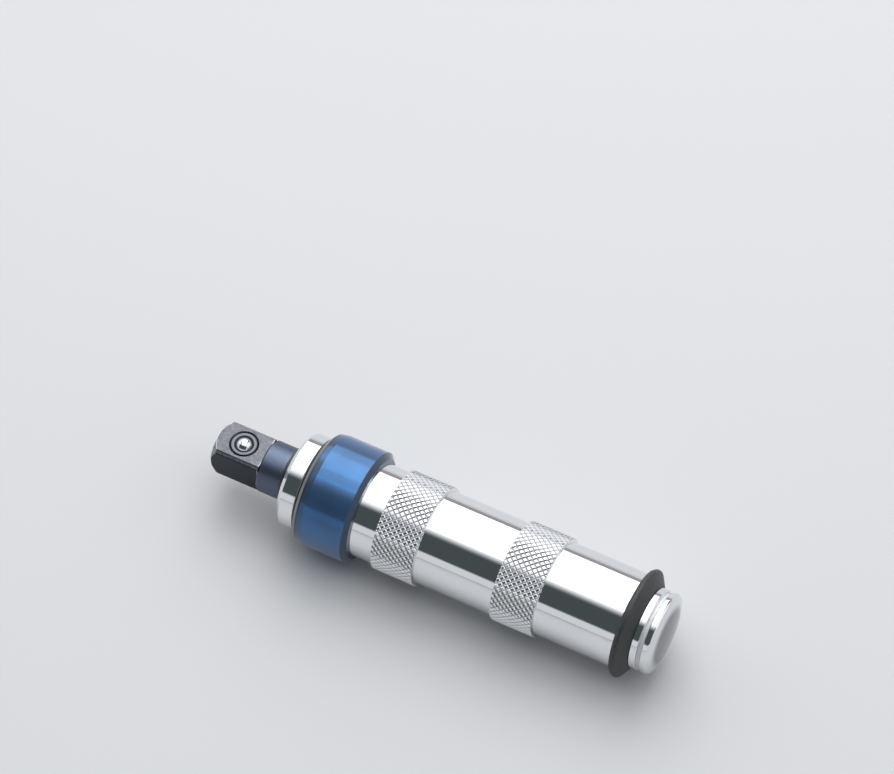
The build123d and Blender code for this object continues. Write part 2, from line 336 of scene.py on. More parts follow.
def blue_anodising(finishes):
    """Dyed aluminium with turning rings, bare on the front bevel, with painted shade on its taper
    and rear bevel.

    A near-black line of painted shade runs round the collar where the dye meets the bare bevel, and
    a patchy painted highlight runs round the end of the taper.
    """
    f = Finish("blue_anodised_aluminium")
    soft, ring_depth = 0.06 * MM, 0.0004 * MM
    line_offset, line_edge, line_core = 0.3 * MM, 0.45 * MM, 0.2 * MM
    shade_line_color = (0.0, 0.01, 0.03)
    rim_edge, rim_core = 0.2 * MM, 0.05 * MM
    bare_end = collar_front + finishes.collar_bare_width
    taper_end = collar_front + finishes.collar_taper_end
    bevel_start = collar_rear - finishes.collar_rear_bevel
    blue, deep_dye_and_shade = shade(finishes.blue_color), shade(finishes.blue_color, finishes.collar_dye_and_shade_depth)
    rings = f.lathe_lines(7000.0, 1.5)
    cloud = f.noise(f.place, 110.0, 3.0, 0.5)
    dye_and_shade = f.mix(f.step(cloud, 0.3, 0.75) * 0.35, blue, deep_dye_and_shade)
    taper = f.step(f.x, taper_end + soft, taper_end - soft)
    rear = f.step(f.x, bevel_start - soft, bevel_start + soft)
    # Painted shade: a near-black line standing in for a shaded groove behind the bare bevel.
    line = f.step(abs(f.x - bare_end - line_offset), line_edge, line_core)
    # Painted shade: the taper and the rear bevel are darkened to the deep blue, as if they faced
    # away from the light.
    dye_and_shade = f.mix((taper * 0.6 + rear).at_most(1.0), dye_and_shade, deep_dye_and_shade)
    dye_and_shade = f.mix(line * 0.85, dye_and_shade, shade(shade_line_color))
    # Painted highlight: a patchy light line round the end of the taper, where the edge would catch
    # the light.
    rim_highlight_patches = f.step(f.noise(f.place, 1500.0, 3.0, 0.6), 0.35, 0.75)
    rim_highlight = f.step(abs(f.x - taper_end), rim_edge, rim_core) * rim_highlight_patches
    end = f.step(f.x, bare_end + soft, bare_end - soft)
    tint = f.mix((end + rim_highlight * 0.4).at_most(1.0), dye_and_shade, shade(finishes.collar_bevel_color))
    rough = finishes.blue_roughness + rings * 0.05
    return f.done(
        Base_Color=tint,
        Metallic=0.65,
        Roughness=rough,
        Normal=f.height(rings, ring_depth),
        Specular_IOR_Level=0.2,
        Coat_Weight=0.9,
        Coat_IOR=1.68,
        Coat_Roughness=0.46,
    )


def black_oxide(finishes):
    """Oiled black oxide on the anvil: grainy flats, brighter along rubbed edges; painted light
    makes the top flat lighter and painted shade the square's other flats darker.
    """
    f = Finish("black_oxide_steel")
    soft, grain_depth = 0.05 * MM, 0.009 * MM
    edge_start, edge_full = 0.95 * MM, 0.55 * MM
    shoulder_start = 0.45 * MM
    tip_start, tip_full = 6.3 * MM, 6.55 * MM
    top_start, top_full = 0.45 * MM, 0.15 * MM
    flat, length = finishes.drive_square / 2, finishes.drive_length
    on_square = f.step(f.x, length + soft, length - soft)
    near_y = f.step(abs(f.y), flat - edge_start, flat - edge_full)
    near_z = f.step(abs(f.z), flat - edge_start, flat - edge_full)
    near_end = f.step(f.x, length - shoulder_start, length - soft)
    near_tip = f.step(f.radius - f.x * finishes.tip_slope, tip_start, tip_full)
    edge = (near_y * near_z + near_end * 0.8 + near_tip * 0.6).at_most(1.0) * on_square
    grain = f.noise(f.place, 2600.0, 4.0, 0.7)
    blotch = f.noise(f.place, 240.0, 4.0, 0.6)
    rub = edge * f.step(f.noise(f.place, 700.0, 4.0, 0.7), 0.2, 0.6)
    # Painted light: the top flat, where the ball is, takes the lighter rubbed colour; the square's
    # other flats keep a tenth of it.
    lit_top_flat = f.step(f.z, flat - top_start, flat - top_full)
    flats = on_square * (0.1 + lit_top_flat * 0.9) * f.step(blotch, 0.1, 0.5)
    oxide = f.mix(grain, shade(finishes.oxide_color), shade(finishes.oxide_color, 0.62))
    # Painted shade: the oxide on the square is darkened further, so its side flats read dark.
    oxide = f.mix(on_square, oxide, shade(finishes.oxide_color, 0.16))
    speckle = f.step(grain, 0.36, 0.64)
    rubbed = f.mix(speckle, shade(finishes.flat_color), shade(finishes.flat_color, 0.55))
    worn_lit_and_shaded_flat = f.mix(flats, oxide, rubbed)
    tint = f.mix(rub, worn_lit_and_shaded_flat, shade(finishes.edge_color))
    rings = f.lathe_lines(4200.0) * (1.0 - on_square)
    rough = 0.34 + grain * 0.14 - rub * 0.12
    normal = f.height(grain * on_square + rings * 0.4, grain_depth)
    return f.done(Base_Color=tint, Metallic=1.0, Roughness=rough, Normal=normal)


def polished_steel(name, color, roughness):
    """Hard polished steel with light handling marks."""
    f = Finish(name)
    mark_depth = 0.0012 * MM
    marks = f.noise(f.place, 1300.0, 4.0, 0.7)
    haze = f.noise(f.place, 300.0, 3.0, 0.5)
    tint = f.mix(haze, shade(color), shade(color, 0.88))
    rough = roughness + f.step(marks, 0.5, 0.85) * 0.12
    normal = f.height(marks, mark_depth)
    return f.done(Base_Color=tint, Metallic=1.0, Roughness=rough, Normal=normal)


def retainer_steel(finishes):
    """Rubbed ring round the ball, with painted shade in its mouth and along its outer edge."""
    f = Finish("ball_retainer_steel")
    mouth_edge, mouth_full = 3.1 * MM, 2.95 * MM
    rim_edge, rim_full = 3.75 * MM, 3.9 * MM
    grain_depth = 0.006 * MM
    color = finishes.flat_color
    along = f.x - finishes.ball_place
    from_ball = f.math("SQRT", along * along + f.y * f.y)
    # Painted shade: dark in the gap round the ball and in the groove round the ring's outer edge.
    shaded_mouth = f.step(from_ball, mouth_edge, mouth_full)
    dark = shaded_mouth.at_least(f.step(from_ball, rim_edge, rim_full))
    grain = f.noise(f.place, 2600.0, 4.0, 0.7)
    face = f.mix(grain, shade(color), shade(color, 0.7))
    tint = f.mix(dark, face, shade(color, 0.25))
    rough = 0.34 + grain * 0.14
    normal = f.height(grain, grain_depth)
    return f.done(Base_Color=tint, Metallic=1.0, Roughness=rough, Normal=normal)


def ground_steel(name, color, roughness):
    """Turned or ground metal with oil held in its rings."""
    f = Finish(name)
    ring_depth = 0.0025 * MM
    rings = f.lathe_lines(3600.0)
    oil = f.step(f.noise(f.place, 260.0, 4.0, 0.6), 0.45, 0.75)
    tint = f.mix(rings * 0.6 + oil * 0.4, shade(color), shade(color, 0.7))
    rough = roughness + rings * 0.12 - oil * 0.08
    normal = f.height(rings, ring_depth)
    return f.done(Base_Color=tint, Metallic=1.0, Roughness=rough, Normal=normal)


def rubber(name, color, roughness, grain_depth):
    """Moulded rubber: fine matt grain, a bloom that lightens it in patches, dust specks."""
    f = Finish(name)
    bloomed, dust = [c * 1.35 + 0.004 for c in color], (0.3, 0.29, 0.28)
    grain = f.noise(f.place, 3200.0, 4.0, 0.7)
    bloom = f.step(f.noise(f.place, 130.0, 4.0, 0.6), 0.4, 0.8)
    specks = f.step(f.noise(f.place, 2100.0, 1.0, 0.4), 0.72, 0.8)
    clean = f.mix(bloom, shade(color), shade(bloomed))
    tint = f.mix(specks * 0.35, clean, shade(dust))
    rough = roughness + grain * 0.16 + bloom * 0.06
    normal = f.height(grain, grain_depth)
    return f.done(Base_Color=tint, Roughness=rough, Normal=normal, Specular_IOR_Level=0.6)


def coat(mesh, material):
    """Gives a mesh this material alone."""
    mesh.materials.clear()
    mesh.materials.append(material)


def paint(material, *nodes):
    """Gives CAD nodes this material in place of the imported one."""
    for node in nodes:
        coat(frame["nodes"][node].data, material)


# Meshes and objects


def settled(name, mesh):
    """A finished mesh from a working one, which is let go."""
    made = bpy.data.meshes.new(name)
    mesh.to_mesh(made)
    mesh.free()
    return made


def placed(name, data):
    """An object for a mesh, a lamp or a camera, added to the scene."""
    made = bpy.data.objects.new(name, data)
    bpy.context.scene.collection.objects.link(made)
    return made


# Knurled barrel

# Distances that count as nothing: between teeth, over the finished barrel, and in one cut.
TOOTH_WELD, BARREL_WELD, HAIR = 0.004 * MM, 0.002 * MM, 0.0001 * MM


def knurl_tree():
    """Node tree that lays diamond teeth on a flat sheet and wraps it round the barrel."""
    tree = bpy.data.node_groups.new("Diamond knurl", "GeometryNodeTree")
    sockets = [
        ("Start", "NodeSocketFloat"),
        ("Length", "NodeSocketFloat"),
        ("Crest radius", "NodeSocketFloat"),
        ("Tooth depth", "NodeSocketFloat"),
        ("Tooth length", "NodeSocketFloat"),
        ("Tooth width", "NodeSocketFloat"),
        ("Teeth around", "NodeSocketInt"),
        ("Columns", "NodeSocketInt"),
        ("Top share", "NodeSocketFloat"),
        ("Plate", "NodeSocketMaterial"),
    ]
    tree.interface.new_socket("Geometry", in_out="INPUT", socket_type="NodeSocketGeometry")
    for name, kind in sockets:
        tree.interface.new_socket(name, in_out="INPUT", socket_type=kind)
    tree.interface.new_socket("Geometry", in_out="OUTPUT", socket_type="NodeSocketGeometry")
    b = Bench(tree)
    size = b.add("NodeGroupInput")
    half_length, half_width = size["Tooth length"] / 2, size["Tooth width"] / 2

    # One tooth: a diamond drawn up to a smaller flat top, with no floor.
    diamond = b.add("GeometryNodeMeshCircle", {"fill_type": "NGON"}, {"Vertices": 4, "Radius": 1.0})
    raised = b.add(
        "GeometryNodeExtrudeMesh", {"mode": "FACES"}, {"Mesh": diamond[0], "Offset Scale": 1.0}
    )
    topped = b.add(
        "GeometryNodeScaleElements",
        None,
        {"Geometry": raised["Mesh"], "Selection": raised["Top"], "Scale": size["Top share"]},
    )
    tooth = b.add(
        "GeometryNodeTransform",
        None,
        {"Geometry": topped[0], "Scale": b.vector(half_length, half_width, size["Tooth depth"])},
    )
    fine = b.add("GeometryNodeSubdivideMesh", None, {"Mesh": tooth[0], "Level": 1})

    # Staggered rows of teeth on the sheet, which reach past both ends of the band.
    grid = b.add(
        "GeometryNodeMeshGrid",
        None,
        {
            "Size X": (size["Columns"] - 1) * half_length,
            "Size Y": (size["Teeth around"] - 1) * size["Tooth width"],
            "Vertices X": size["Columns"],
            "Vertices Y": size["Teeth around"],
        },
    )
    corner = b.add("GeometryNodeInputPosition")
    spot = b.add("ShaderNodeSeparateXYZ", None, {0: corner[0]})
    column = b.math("ROUND", spot["X"] / half_length + (size["Columns"] - 1) / 2)
    middle = size["Start"] + size["Length"] / 2
    laid = b.add(
        "GeometryNodeSetPosition",
        None,
        {"Geometry": grid[0], "Offset": b.vector(middle, (column % 2.0) * half_width, 0.0)},
    )
    rows = b.add("GeometryNodeInstanceOnPoints", None, {"Points": laid[0], "Instance": fine[0]})
    sheet = b.add("GeometryNodeRealizeInstances", None, {0: rows[0]})

    # The sheet is wrapped round the axis.
    here = b.add("ShaderNodeSeparateXYZ", None, {0: b.add("GeometryNodeInputPosition")[0]})
    radius = size["Crest radius"] - size["Tooth depth"] + here["Z"]
    turn = here["Y"] * (2 * math.pi) / (size["Teeth around"] * size["Tooth width"])
    around = b.vector(here["X"], radius * b.math("SINE", turn), radius * b.math("COSINE", turn))
    wrapped = b.add("GeometryNodeSetPosition", None, {"Geometry": sheet[0], "Position": around})
    joined = b.add(
        "GeometryNodeMergeByDistance", None, {"Geometry": wrapped[0], "Distance": TOOTH_WELD}
    )
    both = b.add("GeometryNodeJoinGeometry")
    tree.links.new(joined[0].socket, both.node.inputs[0])
    tree.links.new(size["Geometry"].socket, both.node.inputs[0])
    real = b.add("GeometryNodeRealizeInstances", None, {0: both[0]})
    done = b.add("GeometryNodeSetMaterial", None, {"Geometry": real[0], "Material": size["Plate"]})
    output = tree.nodes.new("NodeGroupOutput")
    tree.links.new(done[0].socket, output.inputs["Geometry"])
    return tree


def knurl_skin(knurl, plate):
    """Mesh of every band's teeth, still longer than the bands at both ends."""
    tree = knurl_tree()
    around = round(2 * math.pi * crest_radius / knurl.tooth_width)
    width = 2 * math.pi * crest_radius / around
    length = width / math.tan(knurl.helix)
    spare_columns = 3
    blank = placed("knurl_blank", bpy.data.meshes.new("knurl_blank"))
    for start, end in grip_bands:
        values = {
            "Start": start,
            "Length": end - start,
            "Crest radius": crest_radius,
            "Tooth depth": knurl.depth,
            "Tooth length": length,
            "Tooth width": width,
            "Teeth around": around,
            "Columns": 2 * math.ceil((end - start) / length) + spare_columns,
            "Top share": knurl.top_share,
            "Plate": plate,
        }
        band = blank.modifiers.new("Diamond knurl", "NODES")
        band.node_group = tree
        for item in tree.interface.items_tree:
            if item.in_out == "INPUT" and item.name in values:
                band[item.identifier] = values[item.name]
    ready = bpy.context.evaluated_depsgraph_get()
    skin = bpy.data.meshes.new_from_object(blank.evaluated_get(ready))
    bpy.data.objects.remove(blank)
    return skin


def lathe(mesh, outline, segments):
    """Adds the surface that an outline of (x, radius) points sweeps, and returns its rings."""
    rings = []
    for x, radius in outline:
        ring = []
        for index in range(segments):
            turn = 2 * math.pi * index / segments
            ring.append(mesh.verts.new((x, radius * math.sin(turn), radius * math.cos(turn))))
        rings.append(ring)
    for first, second in zip(rings, rings[1:]):
        for index in range(segments):
            after = (index + 1) % segments
            mesh.faces.new((first[index], first[after], second[after], second[index]))
    return rings


def ring_edges(ring):
    """The edges that run round one ring of vertices."""
    found = []
    for first, second in zip(ring, ring[1:] + ring[:1]):
        found.append(next(e for e in first.link_edges if second in e.verts))
    return found


def cut_across(mesh, place, way, clear):
    """Cuts a band's teeth across the axis, drops what lies beyond if asked, and returns the cut."""
    cut_reach = 6 * MM
    near = [v for v in mesh.verts if abs(v.co.x - place) < cut_reach]
    near += [g for g in (*mesh.edges, *mesh.faces) if abs(g.verts[0].co.x - place) < cut_reach]
    cut = bmesh.ops.bisect_plane(
        mesh, geom=near, plane_co=(place, 0, 0), plane_no=(way, 0, 0), clear_outer=clear, dist=HAIR
    )
    return [g for g in cut["geom_cut"] if isinstance(g, bmesh.types.BMEdge)]


def trim(mesh, start, end, bevel):
    """Cuts the teeth off at both ends of a band and bevels them down to the barrel."""
    loops = []
    for place, way in ((start, -1), (end, 1)):
        cut_across(mesh, place - way * bevel, way, clear=False)
        edges = cut_across(mesh, place, way, clear=True)
        for vertex in mesh.verts:
            inward = (place - vertex.co.x) * way
            if abs(inward) < bevel:
                limit = barrel_radius + (crest_radius - barrel_radius) * max(inward, 0.0) / bevel
                shrink = min(1.0, limit / math.hypot(vertex.co.y, vertex.co.z))
                vertex.co = (vertex.co.x, vertex.co.y * shrink, vertex.co.z * shrink)
        loops.append(edges)
    return loops


def barrel_mesh(knurl, plate):
    """The barrel in one closed skin, turned and bored, with toothed bands but no pin holes."""
    segments, margin, edge = 192, 0.4 * MM, knurl.edge_bevel
    # The floor under an O-ring lies the ring's own thickness below its top.
    nose_front, nose_rear, nose_top = reach("cap_o_ring")
    nose = nose_top - (nose_rear - nose_front)
    ring_front, ring_rear, ring_top = reach("collar_o_ring")
    groove_front, groove_rear = ring_front - FIT, ring_rear + FIT
    groove_floor, seat = ring_top - (ring_rear - ring_front), ring_top - FIT
    bore = reach("spring_seat")[2] + FIT
    mesh = bmesh.new()
    mesh.from_mesh(knurl_skin(knurl, plate))
    loops = []
    for start, end in grip_bands:
        loops += trim(mesh, start, end, knurl.end_bevel)
    assert all(loops), "a band of teeth was not cut"
    front_run = [
        (barrel_rear, bore),
        (barrel_front, bore),
        (barrel_front, nose),
        (collar_front, nose),
        (collar_front, seat),
        (groove_front, seat),
        (groove_front, groove_floor),
        (groove_rear, groove_floor),
        (groove_rear, seat),
        (collar_rear, seat),
        (collar_rear, barrel_radius),
        (grip_bands[0][0] - margin, barrel_radius),
    ]
    plain_runs = [
        [(first[1] + margin, barrel_radius), (second[0] - margin, barrel_radius)]
        for first, second in zip(grip_bands, grip_bands[1:])
    ]
    rear_run = [
        (grip_bands[-1][1] + margin, barrel_radius),
        (barrel_rear - edge, barrel_radius),
        (barrel_rear, barrel_radius - edge),
        (barrel_rear, bore),
    ]
    turned = [lathe(mesh, run, segments) for run in (front_run, *plain_runs, rear_run)]
    ends = [ring for rings in turned for ring in (rings[0], rings[-1])]
    for ring, loop in zip(ends[1:-1], loops):
        bmesh.ops.bridge_loops(mesh, edges=[e for e in loop if e.is_valid] + ring_edges(ring))
    bmesh.ops.remove_doubles(mesh, verts=mesh.verts, dist=BARREL_WELD)
    bmesh.ops.dissolve_degenerate(mesh, edges=mesh.edges, dist=HAIR)
    bmesh.ops.recalc_face_normals(mesh, faces=mesh.faces)
    return settled("knurled_barrel", mesh)


def pin_cutter():
    """Rod through both pin holes of the barrel."""
    low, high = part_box("drive_pin_back")
    radius = (high.x - low.x) / 2 + FIT
    place = Matrix.Translation(((low.x + high.x) / 2, 0, 0)) @ Matrix.Rotation(math.pi / 2, 4, "X")
    mesh = bmesh.new()
    bmesh.ops.create_cone(
        mesh, cap_ends=True, segments=48, radius1=radius, radius2=radius, depth=4 * high.y,
        matrix=place,
    )
    return placed("pin_cutter", settled("pin_cutter", mesh))


# Pieces in place of CAD nodes


def flatten(piece):
    """Turns a piece's modifiers into its own mesh."""
    ready = bpy.context.evaluated_depsgraph_get()
    made = bpy.data.meshes.new_from_object(piece.evaluated_get(ready))
    piece.modifiers.clear()
    old, piece.data = piece.data, made
    bpy.data.meshes.remove(old)


def new_piece(name, mesh, material, body):
    """An object for a mesh that is already in the tool's frame, riding on a body."""
    piece = placed(name, mesh)
    coat(mesh, material)
    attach(piece, body)
    return piece


def recast(node, name, way, material, body):
    """Stands a copy of a CAD node in its place, its seams closed, with true normals at its poles.

    The poles lie on the line along way through the node's middle. Everywhere else the copy
    keeps the node's own normals.
    """
    seam = 0.001 * MM
    low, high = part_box(node)
    middle, way = (low + high) / 2, Vector(way)
    source = frame["nodes"][node].data
    mesh = bmesh.new()
    mesh.from_mesh(source)
    normal = mesh.loops.layers.float_vector.new("kept_normal")
    for face, polygon in zip(mesh.faces, source.polygons):
        for corner, index in zip(face.loops, polygon.loop_indices):
            if (corner.vert.co - middle).cross(way).length < CLOSE:
                corner[normal] = way * math.copysign(1, face.normal.dot(way))
            else:
                corner[normal] = source.corner_normals[index].vector
    bmesh.ops.remove_doubles(mesh, verts=mesh.verts, dist=seam)
    made = settled(name, mesh)
    kept = [corner.vector.copy() for corner in made.attributes["kept_normal"].data]
    made.attributes.remove(made.attributes["kept_normal"])
    made.shade_smooth()
    made.normals_split_custom_set(kept)
    piece = new_piece(name, made, material, body)
    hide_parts(node)
    return piece


def sprung(node, name, joint, way, material, body):
    """Recasts a spring and gives the copy a mesh of its own. The share of its length kept at its
    joint's full travel is worked out, but nothing shortens the spring.
    """
    slack = 0.01 * MM
    low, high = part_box(node)
    travel = next(j for j in frame["joints"] if j["name"] == joint)["range_m"][1]
    keep = 1 - (travel + slack) / abs(Vector(way).dot(high - low))
    piece = recast(node, name, way, material, body)
    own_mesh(piece)


# Studio


def matt_floor(studio):
    """Pale floor with a hardly seen mottle."""
    f = Finish("matt_floor")
    cloud = f.noise(f.place, 1.2, 2.0, 0.5)
    tint = f.mix(cloud, shade(studio.floor_color), shade(studio.floor_color, 0.985))
    return f.done(Base_Color=tint, Roughness=0.9, Specular_IOR_Level=0.1)


def floor(studio):
    """Wide floor just under the collar, the tool's widest piece."""
    squares, floor_reach, floor_gap = 8, 5.0, 0.05 * MM
    mesh = bmesh.new()
    bmesh.ops.create_grid(mesh, x_segments=squares, y_segments=squares, size=floor_reach)
    made = placed("floor", settled("floor", mesh))
    made.location.z = -collar_radius - floor_gap
    coat(made.data, matt_floor(studio))
    return made


def room(studio):
    """World of pale, dark and grey walls round the tool.

    It is pale low down, at the front and at both ends, with a brighter strip and brighter wings
    overhead, grey low behind the tool and dark elsewhere. Turns are in degrees round the tool's
    axis, from the front. Heights and ends are shares of a direction.
    """
    floor_edge, end_edge = (0.14, 0.10), (0.68, 0.76)
    front_edge, back_edge = (19.0, 14.0), (158.0, 162.0)
    strip_start, strip_stop, strip_ends = (57.0, 75.0), (84.0, 78.0), (0.6, 0.45)
    wing_start, wing_foot, wing_ends, wing_shift = (66.0, 78.0), (0.1, 0.3), (0.44, 0.50), 0.1
    plain_light, extra_light = 1.0, 0.6
    world = bpy.data.worlds.new("Studio room")
    world.use_nodes = True
    bpy.context.scene.world = world
    b = Bench(world.node_tree)
    b.tree.nodes.clear()
    way = b.add("ShaderNodeSeparateXYZ", None, {0: b.add("ShaderNodeTexCoord")["Generated"]})
    turn = b.math("ARCTAN2", way["Z"], way["Y"] * -1.0) * (180 / math.pi)
    low = b.step(way["Z"], *floor_edge)
    front = b.step(turn, *front_edge)
    ends = b.step(abs(way["X"]), *end_edge)
    wings = b.step(abs(way["X"] + wing_shift), *wing_ends) * b.step(turn, *wing_start)
    wings = wings * b.step(way["Z"], *wing_foot)
    strip = b.step(turn, *strip_start) * b.step(turn, *strip_stop)
    strip = strip * b.step(abs(way["X"]), *strip_ends)
    back = b.step(turn, *back_edge)
    pale = low.at_least(front).at_least(ends).at_least(strip).at_least(wings)
    color = b.mix(back, shade(studio.dark_color), shade(studio.grey_color))
    color = b.mix(pale, color, shade(studio.room_color))
    strength = strip.at_least(wings) * extra_light + plain_light
    light = b.add("ShaderNodeBackground", None, {"Color": color, "Strength": strength})
    output = b.add("ShaderNodeOutputWorld")
    b.tree.links.new(light[0].socket, output.node.inputs["Surface"])


def area_lamp(name, turn, distance, along, width, length, power):
    """Rectangular lamp that faces the tool, turned round it from the front and moved along it."""
    lamp = bpy.data.lights.new(name, "AREA")
    lamp.shape, lamp.size, lamp.size_y, lamp.energy = "RECTANGLE", width, length, power
    made = placed(name, lamp)
    way = Vector((along / distance, -math.cos(turn), math.sin(turn)))
    middle = Vector(((cad_bounds[0].x + cad_bounds[1].x) / 2, 0, 0))
    made.location = middle + way * distance
    made.rotation_mode = "QUATERNION"
    made.rotation_quaternion = way.to_track_quat("Z", "X")
    made.visible_camera = False


def camera():
    """Camera at the angle, distance and lens that put the tool's edges where they are seen."""
    place = Vector((0.50746, -0.81581, 1.45904))
    right, up = Vector((0.8901, 0.4557, -0.0077)), Vector((-0.3747, 0.7413, 0.5569))
    sensor_width, lens = 36.0, 231.4
    nearest, furthest = 0.05, 50.0
    data = bpy.data.cameras.new("Camera")
    data.sensor_fit, data.sensor_width, data.lens = "HORIZONTAL", sensor_width, lens
    data.clip_start, data.clip_end = nearest, furthest
    made = placed("Camera", data)
    turn = Matrix((right, up, right.cross(up))).transposed()
    made.matrix_world = Matrix.Translation(place) @ turn.to_4x4()
    bpy.context.scene.camera = made


# Settings


class DriverFinishes(bpy.types.PropertyGroup):
    """Colours and finishes of the tool's pieces."""

    chrome_color: bpy.props.FloatVectorProperty(
        name="Chrome", description="Colour of the bright plate", subtype="COLOR", size=3,
        min=0, max=1, default=(0.82, 0.83, 0.84),
    )
    chrome_roughness: bpy.props.FloatProperty(
        name="Chrome roughness", description="Roughness of clean plate",
        min=0, max=1, default=0.055,
    )
    # Colour of the striking face, darkened as a painted dark reflection.
    dull_face_and_dark_reflection_color: bpy.props.FloatVectorProperty(
        name="Striking face", description="Colour of the head's dulled striking face",
        subtype="COLOR", size=3, min=0, max=1, default=(0.20, 0.195, 0.20),
    )
    groove_from_end: bpy.props.FloatProperty(
        name="Groove place", description="Distance of the head's groove from the end of the tool",
        unit="LENGTH", min=0, default=5.45 * MM, precision=5,
    )
    groove_width: bpy.props.FloatProperty(
        name="Groove width", description="Width of the head's groove", unit="LENGTH",
        min=0, default=1.3 * MM, precision=5,
    )
    head_radius: bpy.props.FloatProperty(
        name="Head radius", description="Radius of the head's two ridges", unit="LENGTH",
        min=0, default=12.9 * MM, precision=5,
    )
    # Colour painted into the knurl's groove bottoms: dull grime and painted shade together.
    groove_grime_and_shade_color: bpy.props.FloatVectorProperty(
        name="Groove grime", description="Colour of the dull metal in the knurl's grooves",
        subtype="COLOR", size=3, min=0, max=1, default=(0.08, 0.08, 0.085),
    )
    blue_color: bpy.props.FloatVectorProperty(
        name="Collar blue", description="Colour of the anodised collar", subtype="COLOR", size=3,
        min=0, max=1, default=(0.005, 0.10, 0.28),
    )
    blue_roughness: bpy.props.FloatProperty(
        name="Collar roughness", description="Roughness of the anodised collar",
        min=0, max=1, default=0.11,
    )
    collar_bevel_color: bpy.props.FloatVectorProperty(
        name="Bare bevel", description="Colour of the collar's bare front bevel", subtype="COLOR",
        size=3, min=0, max=1, default=(0.12, 0.125, 0.12),
    )
    collar_bare_width: bpy.props.FloatProperty(
        name="Bare bevel width", description="Length of the bare part of the collar's front bevel",
        unit="LENGTH", min=0, default=1.1 * MM, precision=5,
    )
    collar_taper_end: bpy.props.FloatProperty(
        name="Taper end", description="Length of the collar's front bevel and taper together",
        unit="LENGTH", min=0, default=3.4 * MM, precision=5,
    )
    collar_rear_bevel: bpy.props.FloatProperty(
        name="Rear bevel", description="Length of the collar's rear bevel", unit="LENGTH",
        min=0, default=1.4 * MM, precision=5,
    )
    # This share is also the painted shade on the collar's taper and rear bevel, besides the real
    # deep patches of dye.
    collar_dye_and_shade_depth: bpy.props.FloatProperty(
        name="Deep blue", description="Share of the blue that is left where the dye is deepest",
        min=0, max=1, default=0.3,
    )
    oxide_color: bpy.props.FloatVectorProperty(
        name="Black oxide", description="Colour of the anvil's black oxide", subtype="COLOR",
        size=3, min=0, max=1, default=(0.13, 0.16, 0.225),
    )
    # Lighter colour that paints light on the square's top flat; also the retainer's face.
    flat_color: bpy.props.FloatVectorProperty(
        name="Drive flats", description="Colour of the rubbed flats of the square",
        subtype="COLOR", size=3, min=0, max=1, default=(0.16, 0.165, 0.188),
    )
    edge_color: bpy.props.FloatVectorProperty(
        name="Rubbed edges", description="Colour of bright steel along the square's edges",
        subtype="COLOR", size=3, min=0, max=1, default=(0.5, 0.5, 0.53),
    )
    drive_square: bpy.props.FloatProperty(
        name="Drive square", description="Width across the flats of the square drive",
        unit="LENGTH", min=0, default=12.7 * MM, precision=5,
    )
    drive_length: bpy.props.FloatProperty(
        name="Drive length", description="Length of the square drive", unit="LENGTH",
        min=0, default=16.1 * MM, precision=5,
    )
    ball_place: bpy.props.FloatProperty(
        name="Ball place", description="Distance of the sprung ball from the front of the square",
        unit="LENGTH", min=0, default=8.3 * MM, precision=5,
    )
    tip_slope: bpy.props.FloatProperty(
        name="Tip slope", description="Rise of the tip's bevel for each step along the tool",
        min=0, default=1.06,
    )
    rubber_color: bpy.props.FloatVectorProperty(
        name="Rubber", description="Colour of the rubber rings", subtype="COLOR", size=3,
        min=0, max=1, default=(0.018, 0.020, 0.021),
    )
    ball_color: bpy.props.FloatVectorProperty(
        name="Ball", description="Colour of the polished ball", subtype="COLOR", size=3,
        min=0, max=1, default=(0.78, 0.78, 0.80),
    )
    bronze_color: bpy.props.FloatVectorProperty(
        name="Bronze", description="Colour of the front bush", subtype="COLOR", size=3,
        min=0, max=1, default=(0.62, 0.40, 0.19),
    )
    hardened_color: bpy.props.FloatVectorProperty(
        name="Hardened steel", description="Colour of the washers, pins and spring seat",
        subtype="COLOR", size=3, min=0, max=1, default=(0.46, 0.46, 0.48),
    )
    wire_color: bpy.props.FloatVectorProperty(
        name="Spring wire", description="Colour of the oiled springs", subtype="COLOR", size=3,
        min=0, max=1, default=(0.24, 0.24, 0.26),
    )


class DriverKnurl(bpy.types.PropertyGroup):
    """Sizes of the diamond knurling and of the barrel's edges."""

    tooth_width: bpy.props.FloatProperty(
        name="Tooth width", description="Width of a diamond round the barrel", unit="LENGTH",
        min=0.5 * MM, default=1.93 * MM, precision=5,
    )
    helix: bpy.props.FloatProperty(
        name="Helix", description="Angle of the grooves to the axis", subtype="ANGLE",
        min=0.1, max=1.4, default=math.radians(43),
    )
    depth: bpy.props.FloatProperty(
        name="Depth", description="Depth of the grooves below the crests", unit="LENGTH",
        min=0, default=0.28 * MM, precision=5,
    )
    top_share: bpy.props.FloatProperty(
        name="Top share", description="Width of a tooth's flat top as a share of the tooth",
        min=0.05, max=0.9, default=0.48,
    )
    end_bevel: bpy.props.FloatProperty(
        name="End bevel", description="Length of the bevel at each end of a band",
        unit="LENGTH", min=0.1 * MM, default=0.3 * MM, precision=5,
    )
    edge_bevel: bpy.props.FloatProperty(
        name="Edge bevel", description="Bevel at the rear edge of the barrel",
        unit="LENGTH", min=0.1 * MM, default=0.4 * MM, precision=5,
    )
    sharp_angle: bpy.props.FloatProperty(
        name="Sharp angle", description="Angle between faces from which an edge looks sharp",
        subtype="ANGLE", min=0.1, max=1.5, default=math.radians(24),
    )


